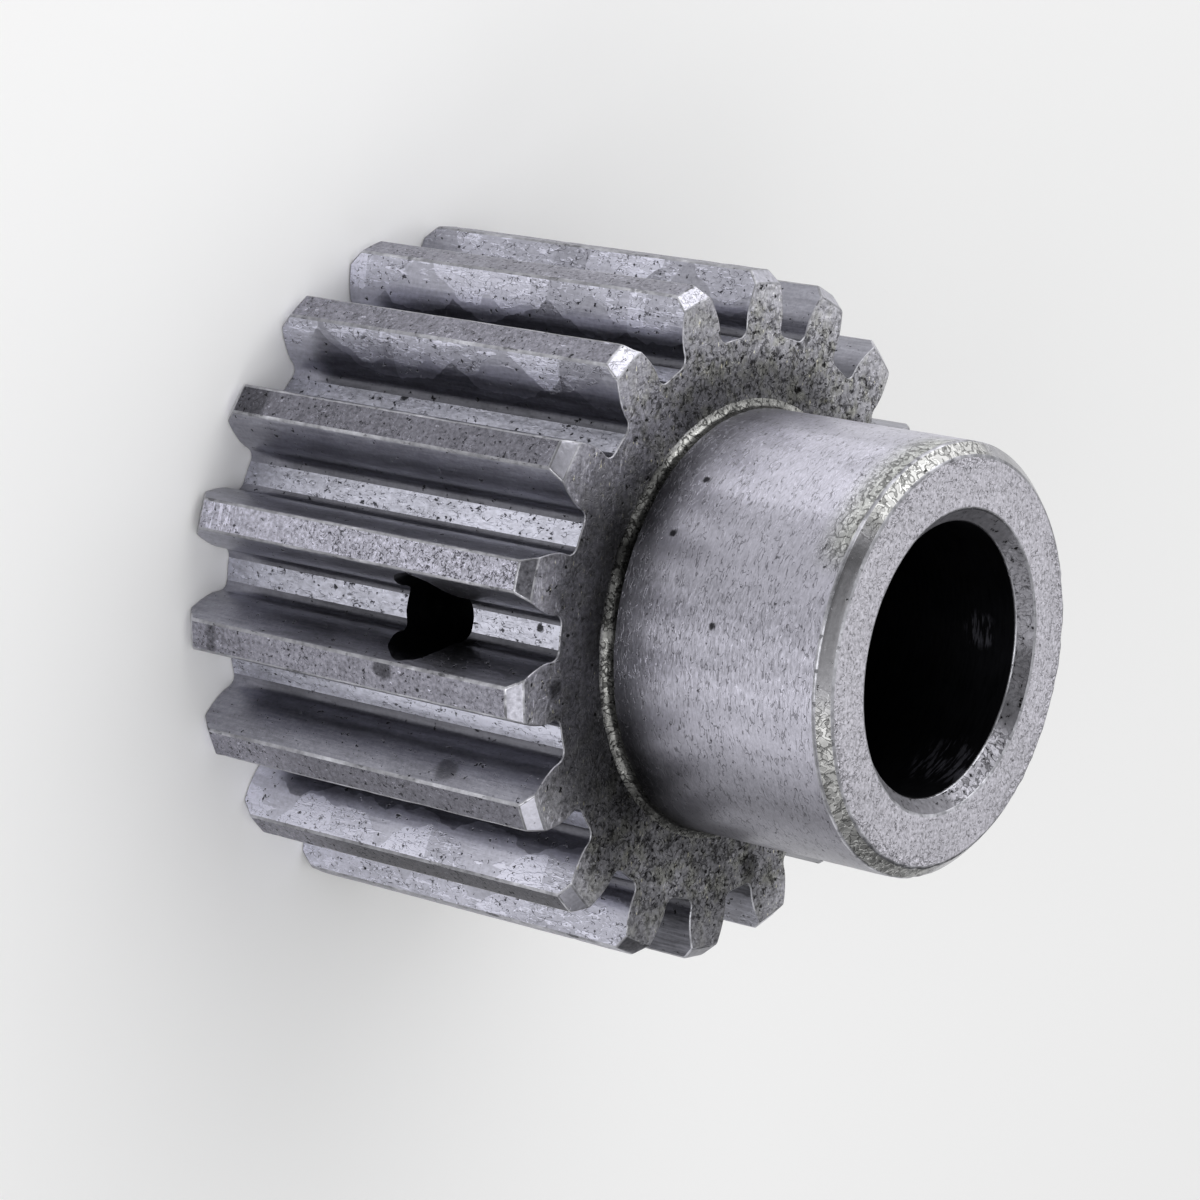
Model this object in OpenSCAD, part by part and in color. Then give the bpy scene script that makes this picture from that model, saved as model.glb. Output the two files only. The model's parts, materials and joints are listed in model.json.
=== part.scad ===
// Motor shaft gear: a small steel spur gear and its hub, turned and cut from one bar.
// It stands on the plain end of its teeth, with the hub up. The shaft bore runs along +Z
// from the origin at the bottom face. The pin hole runs along X, through a tooth space.

/* [Teeth] */
// Number of teeth
tooth_count = 18; // [16:1:36]
// Module, which is the pitch diameter divided by the number of teeth
tooth_module = 1.25; // [1.15:0.05:2]
// Pressure angle of the involute flanks, in degrees
pressure_angle = 20; // [14.5:0.5:25]
// Height of a tooth above the pitch circle, in modules: 0.8 is a stub tooth
addendum = 0.8; // [0.6:0.05:1]
// Depth of a tooth space below the pitch circle, in modules
dedendum = 1; // [0.8:0.05:1.25]
// How much thinner a tooth is than half the pitch, for backlash
tooth_thinning = 0.05; // [0:0.01:0.2]
// Radius in the two bottom corners of a tooth space
root_fillet = 0.35; // [0.1:0.05:0.45]
// Length of the teeth along the shaft
face_w = 15; // [10:0.5:40]
// Chamfer round both ends of the teeth
tooth_chamfer = 0.45; // [0.1:0.05:0.9]

/* [Hub] */
// Outer diameter of the hub
hub_d = 15; // [13:0.1:17]
// Length of the hub beyond the teeth
hub_h = 9; // [3:0.5:25]
// Chamfer round the hub's free end
hub_chamfer = 0.45; // [0.1:0.05:0.8]
// Radius left by the turning tool where the hub meets the toothed end
hub_fillet = 0.3; // [0.1:0.05:0.5]

/* [Bore] */
// Diameter of the shaft bore
bore_d = 9.5; // [6:0.1:10.5]
// Chamfer on both mouths of the bore
bore_chamfer = 0.5; // [0.1:0.05:0.8]

/* [Pin hole] */
// Diameter of the hole drilled across the gear for the pin that drives it
pin_hole_d = 2.9; // [1.5:0.1:3]
// Distance from the hub's end of the teeth to the middle of the pin hole
pin_hole_depth = 5.2; // [2.5:0.1:7.5]

/* [Hidden] */
$fn = 96;

// Steps along one flank, round one bottom corner and across half the bottom of a space
flank_steps = 8;
corner_steps = 4;
bottom_steps = 2;
// How far a cutting shape runs past the surface that it cuts
overcut = 0.5;
steel = [0.56, 0.56, 0.59];

pitch_r = tooth_module * tooth_count / 2;
base_r = pitch_r * cos(pressure_angle);
tip_r = pitch_r + addendum * tooth_module;
root_r = pitch_r - dedendum * tooth_module;
tooth_pitch_deg = 360 / tooth_count;
tooth_thickness = PI * tooth_module / 2 - tooth_thinning;
hub_r = hub_d / 2;
bore_r = bore_d / 2;
overall_h = face_w + hub_h;

function deg(radians) = radians * 180 / PI;
function polar(r, a) = [r * cos(a), r * sin(a)];
function arc(centre, r, from, to, steps) =
    [for (i = [0:steps]) centre + polar(r, from + (to - from) * i / steps)];
function across_x(points) =
    [for (i = [len(points) - 1:-1:0]) [points[i][0], -points[i][1]]];

// An involute's flank has turned by this angle where its pressure angle is a
function involute(a) = deg(tan(a)) - a;
// Inside the base circle there is no involute, and the flank runs straight to the axis
function pressure_angle_at(r) = acos(min(1, base_r / r));
function tooth_half_angle(r) =
    deg(tooth_thickness / 2 / pitch_r) + involute(pressure_angle) - involute(pressure_angle_at(r));
function space_half_angle(r) = tooth_pitch_deg / 2 - tooth_half_angle(r);

// The corner's arc touches the bottom of the space, and the flank at corner_top_r
bottom_half_w = root_r * sin(space_half_angle(root_r));
corner_r = min(root_fillet, 0.9 * bottom_half_w);
corner_centre_r = root_r + corner_r;
corner_top_r = sqrt(pow(corner_centre_r, 2) - pow(corner_r, 2));
corner_turn = asin(corner_r / corner_centre_r);
corner_centre_a = space_half_angle(corner_top_r) - corner_turn;

// Upper half of one tooth space that lies along +X, from past the tips to its middle
function flank_points() = [
    for (i = [flank_steps:-1:1])
        let (r = corner_top_r + (tip_r + overcut - corner_top_r) * i / flank_steps)
        polar(r, space_half_angle(r))
];
function corner_points() = arc(
    polar(corner_centre_r, corner_centre_a), corner_r,
    corner_centre_a + 90 + corner_turn, corner_centre_a + 180, corner_steps
);
function bottom_points() =
    [for (i = [1:bottom_steps]) polar(root_r, corner_centre_a * (1 - i / bottom_steps))];
function half_space_points() = concat(flank_points(), corner_points(), bottom_points());

// Removes the metal between two teeth, as a hob does
module tooth_space() {
    upper = half_space_points();
    lower = across_x([for (i = [0:len(upper) - 2]) upper[i]]);
    translate([0, 0, -overcut])
        linear_extrude(face_w + 2 * overcut)
            polygon(concat(upper, lower));
}

// Section of the turned blank, with its chamfers
module blank_section() {
    polygon([
        [bore_r, bore_chamfer],
        [bore_r + bore_chamfer, 0],
        [tip_r - tooth_chamfer, 0],
        [tip_r, tooth_chamfer],
        [tip_r, face_w - tooth_chamfer],
        [tip_r - tooth_chamfer, face_w],
        [hub_r, face_w],
        [hub_r, overall_h - hub_chamfer],
        [hub_r - hub_chamfer, overall_h],
        [bore_r + bore_chamfer, overall_h],
        [bore_r, overall_h - bore_chamfer]
    ]);
    difference() {
        translate([hub_r - overcut, face_w - overcut]) square(hub_fillet + overcut);
        translate([hub_r + hub_fillet, face_w + hub_fillet]) circle(hub_fillet);
    }
}

// Goes right through both walls, so that the pin can be knocked out again
module pin_hole() {
    translate([0, 0, face_w - pin_hole_depth])
        rotate([0, 90, 0])
            cylinder(d = pin_hole_d, h = 2 * (tip_r + overcut), center = true);
}

module gear() {
    color(steel)
        difference() {
            rotate_extrude() blank_section();
            for (i = [0:tooth_count - 1])
                rotate([0, 0, i * tooth_pitch_deg]) tooth_space();
            pin_hole();
        }
}

gear();
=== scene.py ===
"""Looks of a small steel gear with a hub, a shaft bore and a pin hole across it.

The gear is one mesh, made of rings of points that run up the teeth, over the toothed end, up the
hub, over its end, down the bore and back along the bottom. The pin hole is cut through it. Sizes in
this file are in millimetres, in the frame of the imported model, unless a name says metres.
"""
import json
import math

import bpy
import numpy as np
from mathutils import Matrix, Vector


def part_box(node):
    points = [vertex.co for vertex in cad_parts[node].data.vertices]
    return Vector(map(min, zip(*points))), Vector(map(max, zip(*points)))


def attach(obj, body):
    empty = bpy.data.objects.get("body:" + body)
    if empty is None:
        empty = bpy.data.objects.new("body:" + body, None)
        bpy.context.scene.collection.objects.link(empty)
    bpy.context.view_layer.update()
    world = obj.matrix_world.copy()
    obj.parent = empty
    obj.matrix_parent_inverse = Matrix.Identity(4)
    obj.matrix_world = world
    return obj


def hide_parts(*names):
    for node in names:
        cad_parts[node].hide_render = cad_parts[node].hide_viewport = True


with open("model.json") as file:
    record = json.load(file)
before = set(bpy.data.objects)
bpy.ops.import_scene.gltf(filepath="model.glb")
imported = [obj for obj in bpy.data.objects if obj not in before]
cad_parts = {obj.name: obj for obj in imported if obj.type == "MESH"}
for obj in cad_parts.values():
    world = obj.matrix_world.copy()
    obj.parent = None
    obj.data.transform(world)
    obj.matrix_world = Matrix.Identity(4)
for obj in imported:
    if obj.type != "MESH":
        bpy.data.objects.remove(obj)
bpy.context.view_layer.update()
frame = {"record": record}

MM = 0.001  # metres in a millimetre

# Sizes
mounts = {mount["name"]: mount for mount in frame["record"]["mounts"]}
low_corner, high_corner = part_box("gear")

TOOTH_COUNT = 18
MODULE = 1.25
PRESSURE_ANGLE = 20.0
ADDENDUM = 0.8
DEDENDUM = 1.0
TOOTH_THINNING = 0.05
CORNER_R = 0.35
FACE_W = 15.0
TOOTH_CHAMFER = 0.45
HUB_R = 7.5
HUB_CHAMFER = 0.45
HUB_FILLET = 0.3
BORE_CHAMFER = 0.5
OVERALL_H = (high_corner.z - low_corner.z) / MM
BORE_R = mounts["bore"]["dims"]["r_mm"]
PIN_R = mounts["pin_hole"]["dims"]["r_mm"]
PIN_Z = mounts["pin_hole"]["pos_m"][2] / MM

PITCH_R = MODULE * TOOTH_COUNT / 2
BASE_R = PITCH_R * math.cos(math.radians(PRESSURE_ANGLE))
TIP_R = PITCH_R + ADDENDUM * MODULE
ROOT_R = PITCH_R - DEDENDUM * MODULE
TOOTH_STEP = 360 / TOOTH_COUNT
TOOTH_THICKNESS = math.pi * MODULE / 2 - TOOTH_THINNING

# Kinds of surface, which are also the slots of the gear's materials
(LAND, FLANK, SPACE, TOOTH_BEVEL, TOOTHED_END, FOOT, HUB, HUB_BEVEL, HUB_END, MOUTH, BORE, EDGE,
 BOTTOM) = range(13)


# Shape of the teeth
def involute(angle):
    """Turn of an involute's flank, in degrees, where its pressure angle is this."""
    return math.degrees(math.tan(math.radians(angle))) - angle


def space_half_angle(r):
    """Half the angle of a tooth space at radius r, in degrees."""
    pressure_angle = math.degrees(math.acos(min(1, BASE_R / r)))
    tooth_half = math.degrees(TOOTH_THICKNESS / 2 / PITCH_R)
    tooth_half += involute(PRESSURE_ANGLE) - involute(pressure_angle)
    return TOOTH_STEP / 2 - tooth_half


def polar(r, angle):
    return np.array([r * math.cos(math.radians(angle)), r * math.sin(math.radians(angle))])


EDGE_REACH = 0.07  # how far the worn edge of a tooth reaches down the flank and over the land
BOTTOM_STEPS, CORNER_STEPS, FLANK_STEPS, EDGE_STEPS, LAND_STEPS = 2, 4, 6, 3, 2
SUPPORT = 0.06  # a row of points this far beyond an edge keeps the flat beside it flat

CORNER_CENTRE_R = ROOT_R + CORNER_R
CORNER_TOP_R = math.sqrt(CORNER_CENTRE_R**2 - CORNER_R**2)
CORNER_TURN = math.degrees(math.asin(CORNER_R / CORNER_CENTRE_R))
CORNER_CENTRE_A = space_half_angle(CORNER_TOP_R) - CORNER_TURN


def half_outline(tip_r):
    """Points from the middle of a tooth space, at angle 0, to the middle of the tooth above it."""
    points = [polar(ROOT_R, CORNER_CENTRE_A * i / BOTTOM_STEPS) for i in range(BOTTOM_STEPS)]
    centre = polar(CORNER_CENTRE_R, CORNER_CENTRE_A)
    first, last = CORNER_CENTRE_A + 180, CORNER_CENTRE_A + 90 + CORNER_TURN
    for i in range(CORNER_STEPS + 1):
        points.append(centre + polar(CORNER_R, first + (last - first) * i / CORNER_STEPS))
    flank_top = tip_r - EDGE_REACH
    for i in range(1, FLANK_STEPS + 1):
        r = CORNER_TOP_R + (flank_top - SUPPORT - CORNER_TOP_R) * i / FLANK_STEPS
        points.append(polar(r, space_half_angle(r)))
    start = polar(flank_top, space_half_angle(flank_top))
    corner = polar(tip_r, space_half_angle(tip_r))
    edge_turn = math.degrees(EDGE_REACH / tip_r)
    end = polar(tip_r, space_half_angle(tip_r) + edge_turn)
    for i in range(EDGE_STEPS + 1):
        t = i / EDGE_STEPS
        points.append((1 - t) ** 2 * start + 2 * t * (1 - t) * corner + t**2 * end)
    land_start = space_half_angle(tip_r) + edge_turn + math.degrees(SUPPORT / tip_r)
    for i in range(LAND_STEPS + 1):
        points.append(polar(tip_r, land_start + (TOOTH_STEP / 2 - land_start) * i / LAND_STEPS))
    return points


def column_kinds():
    """Kind of surface between each point of half_outline and the next."""
    kinds = [SPACE] * BOTTOM_STEPS + [FLANK] * (CORNER_STEPS + FLANK_STEPS + 1)
    return kinds + [EDGE] * EDGE_STEPS + [LAND] * (LAND_STEPS + 1)


def outline(tip_r, inset):
    """The whole toothed outline, counterclockwise from the middle of the space on +X."""
    half = np.array(half_outline(tip_r))
    turn = math.radians(TOOTH_STEP)
    # The other half of the tooth is this half mirrored across the tooth's middle line
    flip = np.array([[math.cos(turn), math.sin(turn)], [math.sin(turn), -math.cos(turn)]])
    tooth = np.concatenate([half[:-1], (half @ flip.T)[:0:-1]])
    rings = []
    for k in range(TOOTH_COUNT):
        a = k * turn
        rings.append(tooth @ np.array([[math.cos(a), math.sin(a)], [-math.sin(a), math.cos(a)]]))
    points = np.concatenate(rings)
    along = np.roll(points, -1, 0) - np.roll(points, 1, 0)
    outward = np.stack([along[:, 1], -along[:, 0]], 1)
    outward /= np.linalg.norm(outward, axis=1)[:, None]
    return points - inset * outward


HALF_KINDS = column_kinds()
TOOTH_KINDS = HALF_KINDS + HALF_KINDS[::-1]
OUTER_COUNT = TOOTH_COUNT * len(TOOTH_KINDS)
INNER_COUNT = OUTER_COUNT // 2
OUTER_KINDS = np.array(TOOTH_KINDS * TOOTH_COUNT)
INDEX_ANGLES = np.radians(np.arange(OUTER_COUNT) * 360 / OUTER_COUNT)


# Rings of the whole gear
EDGE_R = 0.04  # radius of the worn edges round the ends
BREAK_W = 0.04  # half the width of the rounded edge between the tips and their bevel
BEVEL_ROWS = (0.09, 0.2, 0.32)  # heights of the rows on the bevel of the teeth
HALF_WALL_ROWS = 23
FOOT_STEPS, HUB_ROWS, BORE_ROWS = 5, 38, 12

# Where the rows lie on a flat face: the share of the way to its other border
TOOTHED_END_SHARES = (0.04, 0.12, 0.22, 0.34, 0.46, 0.58, 0.7, 0.82, 0.92, 1.0)
BOTTOM_SHARES = (1.0, 0.8, 0.55, 0.3, 0.1)
HUB_END_SHARES = (0.05, 0.2, 0.35, 0.5, 0.65, 0.8, 0.95)
HUB_BEVEL_SHARES = (0.3, 0.5, 0.7)
MOUTH_SHARES = (0.25, 0.5, 0.75)

# How far each worn edge reaches over the faces beside it
HUB_WORN, MOUTH_WORN, BORE_WORN, BOTTOM_WORN = 0.07, 0.06, 0.05, 0.04
# Distance from the hub's fillet, and from a bevel, to the first row of the wall beyond it
FOOT_GAP, WALL_GAP = 0.08, 0.12


def tip_radius(z):
    """Radius of the blank at the tips, with its bevels and their slightly rounded edges."""
    depth = min(z, FACE_W - z) - TOOTH_CHAMFER
    if depth >= BREAK_W:
        return TIP_R
    if depth <= -BREAK_W:
        return TIP_R + depth
    return TIP_R - (BREAK_W - depth) ** 2 / (4 * BREAK_W)


def tooth_rows():
    """Heights of the rings up the teeth, and how far each is drawn in at the ends' edges."""
    rows = [(EDGE_R * (1 - math.cos(math.radians(a))), EDGE_R * (1 - math.sin(math.radians(a))))
            for a in (0, 30, 60, 90)]
    for z in (*BEVEL_ROWS, TOOTH_CHAMFER - BREAK_W, TOOTH_CHAMFER, TOOTH_CHAMFER + BREAK_W):
        rows.append((z, 0.0))
    first = TOOTH_CHAMFER + BREAK_W + SUPPORT
    for i in range(HALF_WALL_ROWS):
        rows.append((first + (FACE_W / 2 - first) * i / HALF_WALL_ROWS, 0.0))
    return rows + [(FACE_W / 2, 0.0)] + [(FACE_W - z, inset) for z, inset in rows[::-1]]


def circle(r, z, count):
    angles = np.arange(count) * 2 * math.pi / count
    return np.stack([r * np.cos(angles), r * np.sin(angles), np.full(count, z)], 1)


def worn_corner(r, z, before, after, reach, steps=3):
    """Points of a profile that rounds its corner at (r, z).

    The directions, as (dr, dz), point from the corner along the side before it and the side after it.
    """
    points = []
    for i in range(steps + 1):
        t = i / steps
        a, b = (1 - t) ** 2 * reach, t**2 * reach
        points.append((r + a * before[0] + b * after[0], z + a * before[1] + b * after[1]))
    return points


def gear_rings():
    """All the rings, each with the kind of surface up to the next one, or None along the teeth."""
    rings = []
    for z, inset in tooth_rows():
        flat = outline(tip_radius(z), inset)
        rings.append((np.column_stack([flat, np.full(OUTER_COUNT, z)]), None))
    toothed_end(rings)
    hub_profile(rings)
    bottom_end(rings)
    return rings


def ring_between(outer, r, z, share):
    """A ring part of the way from the toothed outline to a circle of radius r."""
    outer_angles = np.unwrap(np.arctan2(outer[:, 1], outer[:, 0]))
    outer_angles += 2 * math.pi * round((INDEX_ANGLES[0] - outer_angles[0]) / (2 * math.pi))
    angles = 0.5 * (outer_angles + INDEX_ANGLES)
    inner = np.stack([r * np.cos(angles), r * np.sin(angles)], 1)
    if share >= 1:
        inner = np.stack([r * np.cos(INDEX_ANGLES), r * np.sin(INDEX_ANGLES)], 1)
    flat = (1 - share) * outer[:, :2] + share * inner
    return np.column_stack([flat, np.full(len(flat), z)])


def toothed_end(rings):
    """The end of the teeth on the hub's side, from the toothed outline in to the hub's foot."""
    outer = rings[-1][0]
    rings[-1] = (outer, TOOTHED_END)
    foot_r = HUB_R + HUB_FILLET
    for share in TOOTHED_END_SHARES:
        rings.append((ring_between(outer, foot_r, FACE_W, share), TOOTHED_END))


def bottom_end(rings):
    """The hidden end of the teeth, from the bore's mouth out to the toothed outline."""
    outer = rings[0][0]
    inner_r = BORE_R + BORE_CHAMFER + SUPPORT
    for share in BOTTOM_SHARES:
        rings.append((ring_between(outer, inner_r, 0.0, share), BOTTOM))


def hub_profile(rings):
    """The turned rings, from the foot of the hub over its end and down the bore to the bottom."""
    top = OVERALL_H
    profile = []
    for i in range(FOOT_STEPS + 1):
        turn = math.radians(90 * i / FOOT_STEPS)
        profile.append((HUB_R + HUB_FILLET * (1 - math.sin(turn)),
                        FACE_W + HUB_FILLET * (1 - math.cos(turn)), FOOT))
    hub_start, hub_end = FACE_W + HUB_FILLET + FOOT_GAP, top - HUB_CHAMFER - WALL_GAP
    for i in range(HUB_ROWS + 1):
        profile.append((HUB_R, hub_start + (hub_end - hub_start) * i / HUB_ROWS, HUB))
    slope = math.sqrt(0.5)
    down, up_in, inward = (0, -1), (-slope, slope), (-1, 0)
    for r, z in worn_corner(HUB_R, top - HUB_CHAMFER, down, up_in, HUB_WORN):
        profile.append((r, z, EDGE))
    profile[-1] = (*profile[-1][:2], HUB_BEVEL)
    for share in HUB_BEVEL_SHARES:
        profile.append((HUB_R - HUB_CHAMFER * share, top - HUB_CHAMFER * (1 - share), HUB_BEVEL))
    for r, z in worn_corner(HUB_R - HUB_CHAMFER, top, (slope, -slope), inward, HUB_WORN):
        profile.append((r, z, EDGE))
    profile[-1] = (*profile[-1][:2], HUB_END)
    mouth_r = BORE_R + BORE_CHAMFER
    r = HUB_R - HUB_CHAMFER - HUB_WORN
    for share in HUB_END_SHARES:
        profile.append((r + (mouth_r + MOUTH_WORN - r) * share, top, HUB_END))
    for r, z in worn_corner(mouth_r, top, (1, 0), (-slope, -slope), MOUTH_WORN):
        profile.append((r, z, EDGE))
    profile[-1] = (*profile[-1][:2], MOUTH)
    for share in MOUTH_SHARES:
        profile.append((mouth_r - BORE_CHAMFER * share, top - BORE_CHAMFER * share, MOUTH))
    for r, z in worn_corner(BORE_R, top - BORE_CHAMFER, (slope, slope), down, BORE_WORN):
        profile.append((r, z, EDGE))
    profile[-1] = (*profile[-1][:2], BORE)
    bore_top, bore_bottom = top - BORE_CHAMFER - WALL_GAP, BORE_CHAMFER + BORE_WORN
    for i in range(BORE_ROWS + 1):
        profile.append((BORE_R, bore_top + (bore_bottom - bore_top) * i / BORE_ROWS, BORE))
    for r, z in worn_corner(BORE_R, BORE_CHAMFER, (0, 1), (slope, -slope), BOTTOM_WORN, 2):
        profile.append((r, z, MOUTH))
    for r, z in worn_corner(mouth_r, 0.0, (-slope, slope), (1, 0), BOTTOM_WORN, 2):
        profile.append((r, z, MOUTH))
    profile[-1] = (*profile[-1][:2], BOTTOM)
    # The toothed end's last ring is the first of the profile
    rings[-1] = (rings[-1][0], FOOT)
    for r, z, kind in profile[1:]:
        rings.append((circle(r, z, INNER_COUNT), kind))


def stitch(rings):
    """Joins each ring to the next, and the last to the first. Returns points, faces and kinds."""
    starts = np.cumsum([0] + [len(points) for points, _ in rings])
    faces, kinds = [], []
    for j, (points, kind) in enumerate(rings):
        k = (j + 1) % len(rings)
        n, m = len(points), len(rings[k][0])
        a, b = starts[j], starts[k]
        for i in range(min(n, m)):
            if n == m:
                i2 = (i + 1) % n
                faces.append((a + i, a + i2, b + i2, b + i))
                column = int(OUTER_KINDS[i]) if kind is None else kind
                kinds.append(row_kind(j, column) if kind is None else kind)
            elif n == 2 * m:
                i0, i1, i2, k2 = 2 * i, 2 * i + 1, (2 * i + 2) % n, (i + 1) % m
                faces += [(a + i0, a + i1, b + i), (a + i1, a + i2, b + k2), (a + i1, b + k2, b + i)]
                kinds += [kind] * 3
            else:
                i0, i1, i2, k2 = 2 * i, 2 * i + 1, (2 * i + 2) % m, (i + 1) % n
                faces += [(a + i, b + i1, b + i0), (a + i, a + k2, b + i1), (a + k2, b + i2, b + i1)]
                kinds += [kind] * 3
    return np.concatenate([points for points, _ in rings]), faces, kinds


ROWS = tooth_rows()


def row_kind(j, column):
    """Kind of the face above row j of the teeth, in a column of this kind."""
    z = (ROWS[j][0] + ROWS[j + 1][0]) / 2
    depth = min(z, FACE_W - z)
    if depth < EDGE_R:
        return EDGE
    if column in (LAND, EDGE) and depth < TOOTH_CHAMFER - BREAK_W:
        return TOOTH_BEVEL if column == LAND else EDGE
    if column == LAND and depth < TOOTH_CHAMFER + BREAK_W:
        return EDGE
    return column


# Wear
def lattice_noise(points, cell, seed):
    """Smooth noise from -1 to 1, with this size of cell."""
    scaled = points / cell + seed * 17.3
    base = np.floor(scaled).astype(np.int64)
    part = scaled - base
    part = part * part * (3 - 2 * part)
    total = np.zeros(len(points))
    for corner in range(8):
        step = np.array([corner & 1, corner >> 1 & 1, corner >> 2 & 1])
        cellx, celly, cellz = ((base + step) & 0xFFFF).T.astype(np.uint64)
        mixed = cellx * np.uint64(73856093) ^ celly * np.uint64(19349663)
        mixed ^= cellz * np.uint64(83492791)
        mixed = (mixed ^ (mixed >> np.uint64(13))) * np.uint64(1274126177) & np.uint64(0xFFFFFFFF)
        mixed = (mixed ^ (mixed >> np.uint64(16))) & np.uint64(0xFFFF)
        value = mixed.astype(float) / 0x7FFF - 1
        weight = np.prod(np.where(step == 1, part, 1 - part), axis=1)
        total += value * weight
    return total


def smooth_step(low, high, value):
    t = np.clip((value - low) / (high - low), 0, 1)
    return t * t * (3 - 2 * t)


def near_angle(points, azimuth, half_width, soft=8.0):
    """1 within half_width degrees of this azimuth, falling to 0 over the next soft degrees."""
    angle = np.degrees(np.arctan2(points[:, 1], points[:, 0]))
    away = np.abs((angle - azimuth + 180) % 360 - 180)
    return 1 - smooth_step(half_width, half_width + soft, away)


def vertex_normals(points, faces):
    normals = np.zeros_like(points)
    for size in (3, 4):
        chosen = np.array([face for face in faces if len(face) == size])
        if len(chosen) == 0:
            continue
        cross = np.cross(points[chosen[:, 2]] - points[chosen[:, 0]],
                         points[chosen[:, -1]] - points[chosen[:, 1]] if size == 4
                         else points[chosen[:, 2]] - points[chosen[:, 1]])
        for corner in range(size):
            np.add.at(normals, chosen[:, corner], cross)
    return normals / np.maximum(np.linalg.norm(normals, axis=1), 1e-12)[:, None]


# Depths in millimetres: of the whole surface's unevenness, and of each kind of damage
UNEVEN, NICK_DEPTH, TORN_DEPTH, ROPE_DEPTH, HAMMER_DEPTH = 0.004, 0.03, 0.03, 0.035, 0.035


def worn_depth(points):
    """How far each point moves out along its normal, in millimetres. Most of it is inwards."""
    x, y, z = points.T
    r = np.hypot(x, y)
    fine = lattice_noise(points, 0.28, 1)
    coarse = lattice_noise(points, 1.4, 2)
    wide = lattice_noise(points, 3.5, 3)
    depth = UNEVEN * (coarse + wide)
    outside = (z < FACE_W + 0.01) & (r > ROOT_R - 0.02)
    # Nicks along the edges of the teeth
    tip_edge = outside & (r > TIP_R - 0.12)
    nick = np.clip(lattice_noise(points, 0.45, 4) - 0.25, 0, 1)
    depth -= np.where(tip_edge, NICK_DEPTH * nick, 0)
    # Torn metal on the bevels of two teeth
    bevel = outside & (z > FACE_W - TOOTH_CHAMFER - 0.05) & (r > TIP_R - TOOTH_CHAMFER - 0.1)
    torn = np.maximum(near_angle(points, -70, 5, 3), near_angle(points, -50, 5, 3))
    depth += np.where(bevel, torn * TORN_DEPTH * (fine - 0.6), 0)
    # Rough ring of torn metal at the foot of the hub
    foot = smooth_step(0.45, 0.15, np.hypot(r - HUB_R - 0.12, z - FACE_W - 0.12))
    rope = lattice_noise(points, 0.22, 5) + 0.6 * lattice_noise(points, 0.4, 6)
    depth += ROPE_DEPTH * foot * rope
    # Hammered patches round the hub's free end
    rim = smooth_step(0.75, 0.2, np.hypot(r - HUB_R + 0.2, z - OVERALL_H + 0.2))
    hammered = np.maximum(near_angle(points, -72, 22, 12), near_angle(points, 62, 26, 14))
    hammered = np.maximum(hammered, 0.8 * near_angle(points, 170, 30, 15))
    depth += rim * hammered * HAMMER_DEPTH * (lattice_noise(points, 0.3, 7) - 0.35)
    # The bottom face and the bore stay true
    return np.where((z < 0.02) | (r < BORE_R + 0.02), 0, depth)


# Mesh
def new_object(name, mesh):
    piece = bpy.data.objects.new(name, mesh)
    bpy.context.scene.collection.objects.link(piece)
    return piece


def mesh_from(name, points, faces, kinds):
    mesh = bpy.data.meshes.new(name)
    mesh.from_pydata((points * MM).tolist(), [], faces)
    mesh.polygons.foreach_set("material_index", np.array(kinds, np.int32))
    mesh.polygons.foreach_set("use_smooth", np.ones(len(kinds), bool))
    mesh.update()
    return mesh


DRILL_OVERSIZE, DRILL_RAGGED = 0.02, 0.04  # how far the drilled wall lies out, and how unevenly


def pin_hole_cutter():
    """A rod along X, slightly uneven as a drill leaves it."""
    around, rows = 72, 120
    reach = TIP_R + 1.0
    angles = np.arange(around) * 2 * math.pi / around
    rings = []
    for i in range(rows + 1):
        x = np.full(around, -reach + 2 * reach * i / rows)
        rings.append(np.stack([x, PIN_R * np.cos(angles), PIN_Z + PIN_R * np.sin(angles)], 1))
    points = np.concatenate(rings)
    out = points * [0, 1, 1] - [0, 0, PIN_Z]
    out /= np.linalg.norm(out, axis=1)[:, None]
    points = points + out * (DRILL_RAGGED * lattice_noise(points, 0.3, 8) + DRILL_OVERSIZE)[:, None]
    faces = []
    for i in range(rows):
        for k in range(around):
            k2 = (k + 1) % around
            a, b = i * around, (i + 1) * around
            faces.append((a + k, a + k2, b + k2, b + k))
    faces.append(tuple(range(around))[::-1])
    faces.append(tuple(range(rows * around, (rows + 1) * around)))
    return mesh_from("pin_hole_cutter", points, faces, [BORE] * len(faces))


def cut(piece, cutter_mesh):
    """Cuts the other mesh out of the piece, for good."""
    cutter = new_object("cutter", cutter_mesh)
    for material in piece.data.materials:
        cutter_mesh.materials.append(material)
    boolean = piece.modifiers.new("pin_hole", "BOOLEAN")
    boolean.operation = "DIFFERENCE"
    boolean.solver = "EXACT"
    boolean.object = cutter
    graph = bpy.context.evaluated_depsgraph_get()
    whole = bpy.data.meshes.new_from_object(piece.evaluated_get(graph))
    piece.modifiers.clear()
    old = piece.data
    piece.data = whole
    bpy.data.meshes.remove(old)
    bpy.data.objects.remove(cutter)
    bpy.data.meshes.remove(cutter_mesh)


def sharpen_borders(mesh, kind, angle=35.0):
    """Keeps the shading apart where a surface of this kind meets another one at an angle."""
    edge_faces = {}
    for polygon in mesh.polygons:
        for key in polygon.edge_keys:
            edge_faces.setdefault(key, []).append(polygon.index)
    limit = math.cos(math.radians(angle))
    for edge in mesh.edges:
        pair = edge_faces.get(tuple(sorted(edge.vertices)), [])
        if len(pair) != 2:
            continue
        one, two = mesh.polygons[pair[0]], mesh.polygons[pair[1]]
        if kind in (one.material_index, two.material_index):
            if one.material_index != two.material_index and one.normal.dot(two.normal) < limit:
                edge.use_edge_sharp = True


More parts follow.
